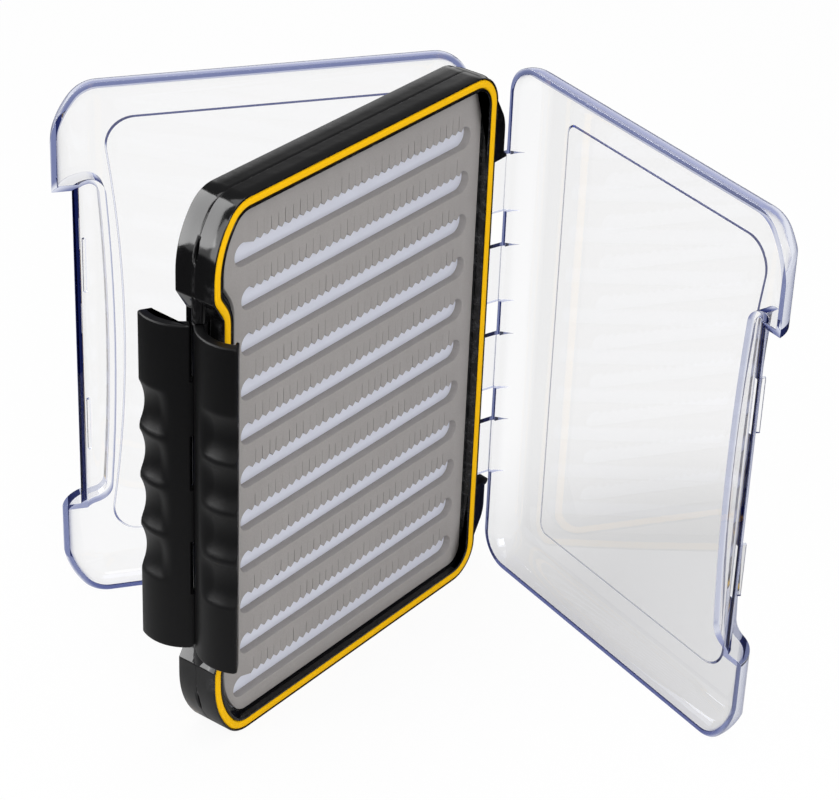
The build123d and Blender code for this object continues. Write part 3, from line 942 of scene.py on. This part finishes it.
    def build(self) -> None:
        """Makes both halves, opens the slits over the latch pin and hides the CAD halves."""
        cutters = [self.slit(1), self.slit(-1)]
        for side in Side:
            made = self.half(side)
            for cutter in cutters:
                cut(made, cutter)
            dressed(made, "frame", f"frame_{side.value}")
        for cutter in cutters:
            bpy.data.objects.remove(cutter)


@dataclass
class Seal:
    """The yellow gasket in one face of the frame.

    Attributes:
        inner: Inset of its inner side.
        outer: Inset of its outer side.
        floor: Depth of its underside.
        crown: Depth of its crown.
        crown_round: Rounding of the crown.
    """

    inner: float = 3.34
    outer: float = 0.66
    floor: float = 5.85
    crown: float = 7.3
    crown_round: float = 0.95
    finish: Finish = SEAL_YELLOW

    def build(self, side: Side) -> None:
        """Carries the crowned section round the groove and hides the CAD gasket."""
        inset = [self.inner, self.inner, self.outer, self.outer]
        corners = np.stack([inset, [self.floor, self.crown, self.crown, self.floor]], 1)
        path = rounded_path(corners, np.array([0.1, self.crown_round, self.crown_round, 0.1]), 9, 2)
        work = Patchwork()
        rings = FRAME_OUTLINE.rings(path[:, 0], np.zeros(len(path)))
        work.grid(in_depth(rings, path[:, 1], side), True, True)
        made = work.piece(f"seal_{side.value}", self.finish, 60.0)
        dressed(made, "frame", f"{side.value}_gasket")


@dataclass
class FoamSheet:
    """A slotted foam sheet, whose slots have a cut upper edge.

    Attributes:
        inset: Inset of its outline.
        floor: Depth of its underside.
        face: Depth of its face.
        soft: Rounding of its edges.
        pitch: Distance between slots.
        slots: How many slots.
        start: Latch end of the slots.
        end: Hinge end of the slots.
        half_height: Half of a slot's height.
        tooth_pitch: Distance between the cuts.
        tooth: Height of the teeth between the cuts.
        tip_gap: How far a tooth's flanks stop short of its tip's middle.
        tip_drop: Most by which a tip hangs lower than the saw's line.
        cut_rise: How far a cut goes up.
        cut_half: Least and greatest half width of an open cut.
        cut_shut: Share of the cuts that are shut, and their half width.
        cut_scale: Least and greatest factor on the height of teeth and cuts.
        cut_spread: Spread of the cuts' places.
        cut_lean: Spread of the cuts' lean.
        extra: How much longer the first and last slot are on the latch side.
        drop: How far the slots lie from the middle height, to leave room for the topmost cuts.
    """

    inset: float = 5.35
    floor: float = 2.02
    face: float = 4.7
    soft: float = 0.22
    pitch: float = 14.79
    slots: int = 11
    start: float = -50.8
    end: float = 55.0
    half_height: float = 3.65
    tooth_pitch: float = 3.1
    tooth: float = 1.10
    tip_gap: float = 0.16
    tip_drop: float = 0.25
    cut_rise: float = 5.2
    cut_half: tuple[float, float] = (0.05, 0.16)
    cut_shut: tuple[float, float] = (0.15, 0.035)
    cut_scale: tuple[float, float] = (0.80, 1.05)
    cut_spread: float = 0.10
    cut_lean: float = 0.08
    extra: float = 3.0
    drop: float = -2.3
    finish: Finish = FOAM_GREY

    def slot_path(self, index: int, chance: np.random.Generator) -> tuple[Array, Array]:
        """The outline of one slot, clockwise: its straight lower edge, round ends and toothed upper edge.

        The upper edge is a saw: it hangs down to z = top at every tooth's tip and rises to top + tooth
        at every valley between two tips, and from each valley a narrow cut goes on upwards.

        Args:
            index: Number of the slot from the bottom.
            chance: Source of the small differences between the cuts.

        Returns:
            The points (x, z), and 1 where the edge is plain or 0 where it is cut.
        """
        z = (index - (self.slots - 1) / 2) * self.pitch + self.drop
        r = self.half_height
        left = self.start - (self.extra if index in (0, self.slots - 1) else 0.0) + r
        right = self.end - r
        round_left = arc((left, z), r, 90, 270, 25)
        round_right = arc((right, z), r, -90, 90, 25)
        x = np.linspace(left, right, 30)[1:-1]
        lower = np.stack([x, np.full(len(x), z - r)], 1)
        count = int((self.end - self.start - 2 * r) / self.tooth_pitch)
        valley = (self.start + self.end) / 2 + (np.arange(count) - (count - 1) / 2) * self.tooth_pitch
        valley = valley + chance.normal(0, self.cut_spread, count)
        top = z + r - self.tooth
        high = top + self.tooth * chance.uniform(*self.cut_scale, count)
        half = chance.uniform(*self.cut_half, count) * (chance.uniform(0, 1, count) > self.cut_shut[0])
        half = np.maximum(half, self.cut_shut[1])
        rise = self.cut_rise * chance.uniform(*self.cut_scale, count)
        lean = chance.normal(0, self.cut_lean, count)
        wide = np.full(count, self.tooth_pitch / 2 - self.tip_gap)
        low = top - self.tip_drop * chance.uniform(0.0, 1.0, count)
        across = [wide, half, half * 0.8 + lean, lean, half * -0.8 + lean, -half, -wide]
        up = [low, high, high + rise * 0.8, high + rise, high + rise * 0.8, high, low]
        cuts = np.stack([valley[:, None] + np.stack(across, 1), np.stack(up, 1)], -1)[::-1].reshape(-1, 2)
        plain = np.concatenate([round_left, lower, round_right])
        return np.concatenate([plain, cuts]), np.repeat([1.0, 0.0], [len(plain), len(cuts)])

    def build(self, side: Side) -> None:
        """Builds the sheet: a filled face between outline and slots, and walls down from both.

        Args:
            side: Face of the box.
        """
        chance = np.random.default_rng(11 if side is Side.FRONT else 12)
        work = Patchwork()
        give = np.concatenate([[0.0], self.soft * (1 - np.cos(QUARTER))])
        depth = np.concatenate([[self.floor], self.face - self.soft + self.soft * np.sin(QUARTER)])
        walls = [FRAME_OUTLINE.rings(self.inset + give, np.full(len(give), LEDGE))]
        for index in range(self.slots):
            path, plain = self.slot_path(index, chance)
            walls.append(path + outward(path) * plain[:, None] * give[:, None, None])
        for wall in walls:
            work.grid(in_depth(wall, depth, side), False, True)
        self.close(work, [wall[-1] for wall in walls], self.face, side)
        self.close(work, [wall[0] for wall in walls], self.floor, side)
        made = work.piece(f"foam_{side.value}", self.finish, 40.0)
        dressed(made, "frame", f"{side.value}_foam")

    def close(self, work: Patchwork, loops: list[Array], depth: float, side: Side) -> None:
        """Fills the flat between the first loop and the rest.

        Args:
            work: Where it goes.
            loops: The outline, and then each hole.
            depth: Distance of the flat from the middle.
            side: Face of the box.
        """
        points = [Vector(point) for point in np.concatenate(loops)]
        edges = []
        for loop in loops:
            first, count = len(edges), len(loop)
            edges += [(first + k, first + (k + 1) % count) for k in range(count)]
        verts, _, triangles, *_ = delaunay_2d_cdt(points, edges, [], 1, 1e-6)
        flat = np.array([tuple(v) for v in verts])
        faces = np.array(triangles)
        centres = flat[faces].mean(1)
        kept = ~np.any([inside(centres, loop) for loop in loops[1:]], axis=0)
        work.fill(in_depth(flat[None], np.array([depth]), side)[0], faces[kept])


@dataclass
class Latch:
    """A curved finger latch.

    It is drawn closed, on a strip that is wrapped round the latch's arc: s runs along the arc from
    the pin, and r is the distance from the arc's centre.

    Attributes:
        length: Its length along the pin.
        centre: The arc's centre (x, y), closed.
        outer: Radius of its outer face.
        inner: Radius of its inner face.
        edge: Rounding of its ends.
        start: Angle of the pin, seen from the centre.
        span: Angle from the pin to the free edge.
        rounds: Roundings of the plate's section, from the outer root on by way of the free edge.
        spacing: Distance between the plate's rows.
        barrel: Radius of its barrels.
        barrel_edge: Rounding of their ends.
        bore: Radius of the hole in them.
        knuckles: Segments along the pin, of which every other one has a barrel.
        gap: Half of the gap between two segments.
        hang: How far the plate's lower end goes on past the barrels.
        root: Angle where the plate begins, at a barrel and where it is cut back.
        even: Angle beyond which every height has its points at the same angles.
        lip: Height and width of the lip along the free edge.
        scallop_pitch: Distance between the finger scallops.
        scallop_width: Width of a scallop.
        scallop_depth: Its depth.
        scallop_run: Angles between which it grows to that depth.
        scallop_blend: How softly it meets the face.
    """

    length: float = 108.0
    centre: tuple[float, float] = (-51.35, -3.97)
    outer: float = 13.96
    inner: float = 10.76
    edge: float = 0.55
    start: float = 161.26
    span: float = 92.9
    rounds: tuple[float, ...] = (0.5, 1.0, 0.35, 0.35, 0.3, 0.5)
    spacing: float = 0.8
    barrel: float = 2.3
    barrel_edge: float = 0.3
    bore: float = 0.92
    knuckles: int = 6
    gap: float = 0.18
    hang: float = 1.5
    root: tuple[float, float] = (1.5, 13.606)
    even: float = 17.0
    lip: tuple[float, float] = (1.5, 1.1)
    scallop_pitch: float = 16.4
    scallop_width: float = 15.0
    scallop_depth: float = 1.9
    scallop_run: tuple[float, float] = (36.0, 58.0)
    scallop_blend: float = 0.10
    finish: Finish = SATIN_BLACK

    def section(self, root: Array, shrink: Array) -> Array:
        """The plate's section on the strip, one for each height.

        Args:
            root: Angle in degrees from the pin at which the plate begins.
            shrink: How far the whole section draws in, for the rounded ends.

        Returns:
            Points (angle in degrees from the pin, radius), (rows, count, 2).
        """
        middle = (self.outer + self.inner) / 2
        begin, end = np.radians(root) * middle + shrink, np.radians(self.span) * middle - shrink
        back = end + 2 * shrink - self.lip[1] / self.inner * middle
        outer, inner = self.outer - shrink, self.inner + shrink
        tip = inner - self.lip[0]
        corners = [(begin, outer), (end, outer), (end, tip), (back, tip), (back, inner), (begin, inner)]
        table = np.stack([np.stack(corner, -1) for corner in corners], -2)
        radii = np.broadcast_to(np.array(self.rounds), table.shape[:2])
        arcs = rounded_path(table, radii, 7).reshape(len(root), len(self.rounds), 7, 2)
        t, u = (np.arange(1, 5) / 5)[None, :, None], (np.arange(0, 40) / 40)[None, :, None]

        def run(near: Array, far: Array) -> Array:
            """Points from the root to the tip: few up to the even angle, and many from there."""
            even = np.stack([np.full(len(root), np.radians(self.even) * middle), near[:, 1]], -1)[:, None]
            return np.concatenate([near[:, None] * (1 - t) + even * t, even * (1 - u) + far[:, None] * u], 1)

        outer_run = run(arcs[:, 0, -1], arcs[:, 1, 0])
        inner_run = run(arcs[:, 5, 0], arcs[:, 4, -1])[:, ::-1]
        tip_side = arcs[:, 1:5].reshape(len(root), -1, 2)
        path = np.concatenate([arcs[:, 0], outer_run, tip_side, inner_run, arcs[:, 5]], 1)
        return np.stack([np.degrees(path[..., 0] / middle), path[..., 1]], -1)

    def dipped(self, angle: Array, radius: Array, z: Array) -> Array:
        """Cuts the finger scallops into the outer face.

        At height z from its middle a scallop is sqrt(R^2 - z^2) - (R - depth) deep, and it runs out
        smoothly towards the pin. The radius becomes the soft minimum of r and outer - that depth.

        Args:
            angle: Angle of each point from the pin, in degrees.
            radius: Radius of each point.
            z: Height of each point from the middle.

        Returns:
            The new radius.
        """
        half, depth, blend = self.scallop_width / 2, self.scallop_depth, self.scallop_blend
        size = (half**2 + depth**2) / (2 * depth)
        nearest = np.clip(np.round(z / self.scallop_pitch - 0.5), -2, 1) + 0.5
        offset = z - nearest * self.scallop_pitch
        deep = np.sqrt(np.clip(size**2 - offset**2, 0.01, None)) - size + depth
        begin, end = self.scallop_run
        share = np.clip((angle - begin) / (end - begin), 0, 1)
        limit = self.outer - deep * share * share * (3 - 2 * share)
        gap = np.clip(0.5 + 0.5 * (limit - radius) / blend, 0, 1)
        soft = limit * (1 - gap) + radius * gap - blend * gap * (1 - gap)
        dips = (share > 0) & (radius > (self.outer + self.inner) / 2)
        return np.where(dips, np.minimum(soft, radius), radius)

    def plate(self, work: Patchwork, tail: float) -> None:
        """Carries the section along the latch, with its root cut back at every other knuckle.

        Args:
            work: Where it goes.
            tail: -1 or 1 for the end that goes on past the pin's barrels, which hangs down.
        """
        half, segment, edge = self.length / 2, self.length / self.knuckles, self.edge
        bounds = -half + segment * np.arange(1, self.knuckles)
        ends = np.concatenate([bounds - self.gap, bounds + self.gap])
        steps = np.concatenate([ends, bounds - self.gap - 0.01, bounds + self.gap + 0.01])
        cap = half - edge + edge * np.sin(np.radians(np.linspace(0, 90, 6)))
        fine = np.arange(-half + 1.0, half - 0.99, self.spacing)
        z = np.unique(np.round(np.concatenate([fine, steps, cap, -cap]), 4))
        over = np.clip(np.abs(z) - (half - edge), 0, edge)
        shrink = edge - np.sqrt(np.clip(edge**2 - over**2, 0, None))
        number = np.clip(np.floor((z + half) / segment), 0, self.knuckles - 1)
        near = np.abs(z[:, None] - bounds[None, :]).min(1)
        body = z * tail < half - 2 * edge
        barrel_here = (number % 2 == 1) & (near > self.gap + 0.004) & body
        section = self.section(np.where(barrel_here, *self.root), shrink)
        radius = self.dipped(section[..., 0], section[..., 1], z[:, None])
        angle = np.radians(self.start + section[..., 0])
        z = np.where(body, z, z + tail * self.hang)
        x, y = self.centre[0] + radius * np.cos(angle), self.centre[1] + radius * np.sin(angle)
        work.block(placed(x, y, z[:, None]))

    def barrels(self, work: Patchwork) -> None:
        """Adds a short round barrel at every other knuckle."""
        segment = self.length / self.knuckles
        t = np.radians(np.linspace(0, 360, 41)[:-1])
        for index in range(1, self.knuckles, 2):
            low = -self.length / 2 + index * segment + self.gap
            last = index == self.knuckles - 1
            high = self.length / 2 if last else low + segment - 2 * self.gap
            inward, z = soft_ends(low, high, self.barrel_edge)
            r = np.concatenate([[self.bore], self.barrel - inward, [self.bore]])[:, None]
            z = np.concatenate([[low], z, [high]])[:, None]
            work.grid(placed(LATCH_PIN_X + r * np.cos(t), r * np.sin(t), z), True, True)

    def build(self, side: Side, opened: float) -> None:
        """Builds the latch, opened as photographed, and hides the CAD latch.

        Args:
            side: Face of the box.
            opened: Angle from closed, in degrees.
        """
        work = Patchwork()
        self.plate(work, side.towards)
        self.barrels(work)
        if side is Side.REAR:
            work.points = [flipped(points) for points in work.points]
        work.points = [turned(points, LATCH_PIN_X, side.towards * opened) for points in work.points]
        made = work.piece(f"latch_{side.value}", self.finish, 42.0)
        dressed(made, f"{side.value}_latch", f"{side.value}_latch")


@dataclass
class Lid:
    """A clear lid, finished from a merged copy of its solid with small rounded edges.

    Attributes:
        edge: Rounding of its edges.
        opened: Angle at which the front and the rear lid are photographed.
        pane_middle: Middle (x, z) of the pane, closed.
        pane_half: Half of the pane's width and height.
        floor: Depths between which the pane's outer face lies.
        wall: Depths between which the step round the pane lies.
        slope: How far that step runs in towards the pane's middle.
        level: Share of a face's normal through the lid over which it counts as level.
        lines: Attribute that marks the step.
    """

    edge: float = 0.28
    opened: tuple[float, float] = (71.9, 35.9)
    pane_middle: tuple[float, float] = (-0.4, HALF_LENGTH)
    pane_half: tuple[float, float] = (47.9, 74.4)
    floor: tuple[float, float] = (17.2, 17.8)
    wall: tuple[float, float] = (17.3, 18.2)
    slope: float = 0.5
    level: float = 0.93
    finish: ClearPlastic = CLEAR

    def shut(self, points: Array, side: Side) -> Array:
        """Turns a lid's points from its photographed place to where the front lid lies closed."""
        if side is Side.FRONT:
            return turned(points, HINGE_X, -self.opened[0])
        return flipped(turned(points, HINGE_X, self.opened[1]))

    def reopened(self, points: Array, side: Side) -> Array:
        """Turns points of the closed front lid to a lid's photographed place."""
        if side is Side.FRONT:
            return turned(points, HINGE_X, self.opened[0])
        return turned(flipped(points), HINGE_X, -self.opened[1])

    def near_pane(self, points: Array, depths: tuple[float, float]) -> Array:
        """Whether points of the closed lid lie over the pane or its step, between two depths."""
        over = (np.abs(points[:, [0, 2]] - self.pane_middle) < np.array(self.pane_half) + 1.0).all(1)
        return over & (-points[:, 1] > depths[0]) & (-points[:, 1] < depths[1])

    def slope_step(self, form: bmesh.types.BMesh, side: Side) -> None:
        """Slopes the step round the pane: its floor's outline moves in towards the pane's middle.

        Args:
            form: The lid's mesh, opened.
            side: Face of the box.
        """
        points = self.shut(np.array([v.co for v in form.verts]) / MM, side)
        share = 1 - self.slope / np.array(self.pane_half)
        moved = self.pane_middle + (points[:, [0, 2]] - self.pane_middle) * share
        floor = self.near_pane(points, self.floor)
        points[:, [0, 2]] = np.where(floor[:, None], moved, points[:, [0, 2]])
        for vert, place in zip(form.verts, self.reopened(points, side) * MM):
            vert.co = Vector(place)
        log.info("%s lid: %d points round the pane", side.value, int(floor.sum()))

    def mark_lines(self, mesh: bpy.types.Mesh, side: Side) -> None:
        """Marks the faces of the step round the pane, which aren't level, found in the closed lid.

        Args:
            mesh: The lid's mesh, opened.
            side: Face of the box.
        """
        centre, normal = np.empty((2, len(mesh.polygons) * 3))
        mesh.polygons.foreach_get("center", centre)
        mesh.polygons.foreach_get("normal", normal)
        centre, normal = centre.reshape(-1, 3) / MM, normal.reshape(-1, 3)
        ahead, centre = self.shut(centre + normal, side), self.shut(centre, side)
        wall = self.near_pane(centre, self.wall) & (np.abs(ahead[:, 1] - centre[:, 1]) < self.level)
        marks = mesh.attributes.new(self.finish.lines, "FLOAT", "FACE")
        marks.data.foreach_set("value", wall.astype(np.float32))
        log.info("%s lid: %d faces in the step", side.value, int(wall.sum()))

    def build(self, side: Side) -> None:
        """Merges a copy of the solid, rounds its edges and hides the CAD lid.

        Args:
            side: Face of the box.
        """
        form = bmesh.new()
        form.from_mesh(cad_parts[f"{side.value}_lid"].data)
        bmesh.ops.remove_doubles(form, verts=form.verts, dist=2e-6)
        bmesh.ops.dissolve_limit(form, angle_limit=np.radians(0.4), verts=form.verts, edges=form.edges)
        self.slope_step(form, side)
        mesh = bpy.data.meshes.new(f"lid_{side.value}")
        form.to_mesh(mesh)
        form.free()
        mesh.materials.clear()
        made = new_object(mesh.name, mesh, self.finish)
        round_off = made.modifiers.new("edges", "BEVEL")
        round_off.width, round_off.segments = self.edge * MM, 3
        round_off.limit_method, round_off.angle_limit = "ANGLE", np.radians(40)
        round_off.use_clamp_overlap = True
        round_off.harden_normals = False
        bake_modifiers(made)
        self.mark_lines(made.data, side)
        made.data.shade_smooth()
        made.data.set_sharp_from_angle(angle=np.radians(45))
        even = made.modifiers.new("even", "WEIGHTED_NORMAL")
        even.mode, even.keep_sharp = "FACE_AREA", True
        bake_modifiers(made)
        dressed(made, f"{side.value}_lid", f"{side.value}_lid")


@dataclass
class SlotSheet:
    """The stiff sheet that shows through the slots, clamped between the frame halves by its thin rim.

    Attributes:
        rim: Inset and half thickness of the clamped rim.
        core: Inset and half thickness of the part behind the foam.
    """

    rim: tuple[float, float] = (4.0, 0.76)
    core: tuple[float, float] = (4.85, 2.0)
    finish: Finish = SHEET_PALE

    def build(self) -> None:
        """Carries the stepped edge round the outline and closes both faces."""
        inset = np.array([self.core[0], self.core[0], self.rim[0], self.rim[0], self.core[0], self.core[0]])
        half = np.array([self.core[1], self.rim[1], self.rim[1]])
        rings = FRAME_OUTLINE.rings(inset, np.full(len(inset), LEDGE))
        work = Patchwork()
        work.block(in_depth(rings, np.concatenate([half, -half[::-1]]), Side.FRONT))
        dressed(work.piece("slot_sheet", self.finish, 30.0), "frame", "centre_sheet")


@dataclass
class Insert:
    """The pieces whose solids are right as they are: the two pins."""

    finishes: dict[str, Finish] = field(default_factory=lambda: {"hinge_pin": STEEL, "latch_pin": STEEL})

    def build(self) -> None:
        """Gives each of them its finish."""
        for name, finish in self.finishes.items():
            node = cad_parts[name]
            node.data.materials.clear()
            node.data.materials.append(finish.material())
            log.info("%s: dressed as it is", name)


# ------------------------------------------------------------------ studio


@dataclass(frozen=True)
class FloorFinish(Finish):
    """Pale floor that keeps the object's shadow and reads as white to the camera.

    Attributes:
        white: Share of plain white that the camera and clear pieces see.
        dark: Colour of its far parts in reflections.
        reach: Distances in metres between which it grows darker in reflections, as beyond a table's edge.
        shade_place: Place on the floor, behind the front lid, that clear pieces see in soft shade.
        shade_reach: Distances from it between which the shade fades.
        shade_depth: How much the shade takes from the white and from the floor's colour.
    """

    white: float = 0.92
    dark: Colour = (0.03, 0.03, 0.03)
    reach: tuple[float, float] = (0.10, 0.32)
    shade_place: Point = (0.10, -0.09, 0.0)
    shade_reach: tuple[float, float] = (0.04, 0.15)
    shade_depth: tuple[float, float] = (0.72, 0.30)

    def surface(self, graph: Graph) -> bpy.types.NodeSocket:
        """Matt floor, with white added for camera and glass, and darker in gloss and in the soft shade."""
        place = graph.node("ShaderNodeTexCoord").outputs["Object"]
        bent = graph.path("Transmission Depth").clamped()
        seen = graph.path("Is Camera Ray").larger(graph.path("Is Transmission Ray")).larger(bent)
        gloss = graph.path("Is Glossy Ray") * (1.0 - seen)
        away = graph.signal("ShaderNodeVectorMath", "Value", {"operation": "LENGTH"}, {0: place})
        inputs = {0: place, 1: self.shade_place}
        under = graph.signal("ShaderNodeVectorMath", "Value", {"operation": "DISTANCE"}, inputs)
        near = (1.0 - under.ramp(*self.shade_reach)) * bent
        dim = ((away.ramp(*self.reach) * 0.5 + 0.5) * gloss).larger(near * self.shade_depth[1])
        tone = graph.blend(graph.noise(6.0, 3.0), self.colour, scaled(self.colour, 1.02))
        matt = graph.node("ShaderNodeBsdfDiffuse", None, {"Color": graph.blend(dim, tone, self.dark)})
        white = graph.node("ShaderNodeEmission", None, {"Color": (1.0, 1.0, 1.0), "Strength": 1.0})
        share = seen * (1.0 - near * self.shade_depth[0]) * self.white
        return graph.mixed(share, matt.outputs[0], white.outputs[0])


def stand(right: Any, above: Any, back: Any, place: Any) -> Matrix:
    """The matrix of an object with these three axes, at a place."""
    matrix = np.eye(4)
    matrix[:3] = np.stack([right, above, back, place], 1)
    return Matrix(matrix.tolist())


@dataclass
class Studio:
    """Floor, soft lamps, white surround and the camera.

    Attributes:
        eye: The camera's place in metres.
        yaw: Its heading, from +Y towards +X.
        pitch: How far it looks down.
        roll: How far it is rolled.
        lens: Its focal length for a 36 mm wide sensor.
        ambient: Strength of the surround for diffuse light.
        overhead: The ceiling's colour in reflections.
        overhead_clear: The ceiling's colour as clear pieces bend it into view.
        horizon: Heights of a ray's direction between which the white sweep ends in the ceiling.
        middle: The point that the soft lamps face.
    """

    eye: Point = (-0.559184, -0.443941, 0.513396)
    yaw: float = 53.50863
    pitch: float = 30.52660
    roll: float = 2.44358
    lens: float = 117.21326
    ambient: float = 0.62
    overhead: Colour = (0.12, 0.12, 0.12)
    overhead_clear: Colour = (0.50, 0.53, 0.74)
    horizon: tuple[float, float] = (0.15, 0.52)
    middle: Point = (0.0, 0.0, 0.09)

    def floor(self) -> None:
        """Lays the floor under the box."""
        x, y = np.meshgrid([-3000.0, 0.0, 3000.0], [-3000.0, 0.0, 3000.0])
        work = Patchwork()
        work.grid(np.stack([x, y, np.zeros_like(x)], -1))
        work.piece("floor", FloorFinish("pale_floor", (0.88, 0.88, 0.88)), outwards=False)

    def surround(self) -> None:
        """Fills the world with soft white light, which gloss sees as a white sweep under a dark ceiling."""
        world = bpy.data.worlds.new("surround")
        bpy.context.scene.world = world
        graph = Graph(world)
        bent = graph.path("Is Glossy Ray").larger(graph.path("Is Transmission Ray"))
        direction = graph.node("ShaderNodeTexCoord").outputs["Generated"]
        height = graph.signal("ShaderNodeSeparateXYZ", "Z", None, {0: direction}).ramp(*self.horizon) * bent
        clear = graph.path("Transmission Depth").clamped()
        colour = graph.blend(height, (1.0, 1.0, 1.0), graph.blend(clear, self.overhead, self.overhead_clear))
        strength = (graph.path("Is Camera Ray") + bent).clamped() * (1.0 - self.ambient) + self.ambient
        light = graph.node("ShaderNodeBackground", None, {"Color": colour, "Strength": strength})
        graph.finish(light.outputs[0])

    def lamp(self, name: str, place: Point, size: tuple[float, float], watts: float) -> Object:
        """Hangs a soft rectangular lamp that faces the middle.

        Args:
            name: Its name.
            place: Where it hangs, in metres.
            size: Its width and height.
            watts: Its power.

        Returns:
            The lamp.
        """
        light = bpy.data.lights.new(name, "AREA")
        light.shape = "RECTANGLE"
        light.size, light.size_y = size
        light.energy = watts
        made = bpy.data.objects.new(name, light)
        bpy.context.scene.collection.objects.link(made)
        made.location = Vector(place)
        made.rotation_euler = (Vector(self.middle) - Vector(place)).to_track_quat("-Z", "Y").to_euler()
        return made

    def panel(self, place: Point, aim: Point, along: Point) -> None:
        """Hangs a long bright panel that shows in gloss alone, behind and beside the box.

        Args:
            place: Where it hangs, in metres.
            aim: The point that it faces.
            along: Direction of its long side.
        """
        made = self.lamp("panel", place, (1.25, 0.62), 15.0)
        back = unit(np.array(place) - np.array(aim))
        side = unit(np.array(along) - back * (np.array(along) @ back))
        made.matrix_world = stand(side, np.cross(back, side), back, place)
        made.visible_diffuse = False
        made.visible_camera = False

    def camera(self) -> None:
        """Sets the camera at the photograph's angle."""
        yaw, pitch, roll = np.radians([self.yaw, self.pitch, self.roll])
        ahead = np.array([np.sin(yaw) * np.cos(pitch), np.cos(yaw) * np.cos(pitch), -np.sin(pitch)])
        level = np.array([np.cos(yaw), -np.sin(yaw), 0.0])
        above = np.cross(level, ahead)
        right = np.cos(roll) * level + np.sin(roll) * above
        up = -np.sin(roll) * level + np.cos(roll) * above
        data = bpy.data.cameras.new("camera")
        data.sensor_width = 36.0
        data.lens = self.lens
        data.clip_start, data.clip_end = 0.01, 20.0
        made = bpy.data.objects.new("camera", data)
        bpy.context.scene.collection.objects.link(made)
        made.matrix_world = stand(right, up, -ahead, self.eye)
        bpy.context.scene.camera = made

    def build(self) -> None:
        """Builds the whole studio."""
        self.floor()
        self.surround()
        self.lamp("key", (-0.75, -0.95, 0.95), (0.7, 0.7), 7.0)
        self.lamp("side", (-1.1, 0.35, 0.55), (0.45, 0.9), 4.0)
        self.lamp("top", (0.1, 0.1, 1.3), (0.9, 0.9), 5.0)
        self.panel((-0.44, 0.68, 0.62), (-0.06, 0.0, 0.17), (0.76, 0.0, 0.65))
        self.camera()
        bpy.context.scene.view_settings.view_transform = "Standard"


def main() -> None:
    """Builds the box and the studio in order."""
    logging.basicConfig(level=logging.INFO, format="%(name)s %(message)s")
    Studio().build()
    MiddleFrame().build()
    Insert().build()
    SlotSheet().build()
    for side in Side:
        Seal().build(side)
        FoamSheet().build(side)
        Lid().build(side)
    Latch().build(Side.FRONT, 40.0)
    Latch().build(Side.REAR, 44.0)
    bpy.context.view_layer.update()


if __name__ == "__main__":
    main()
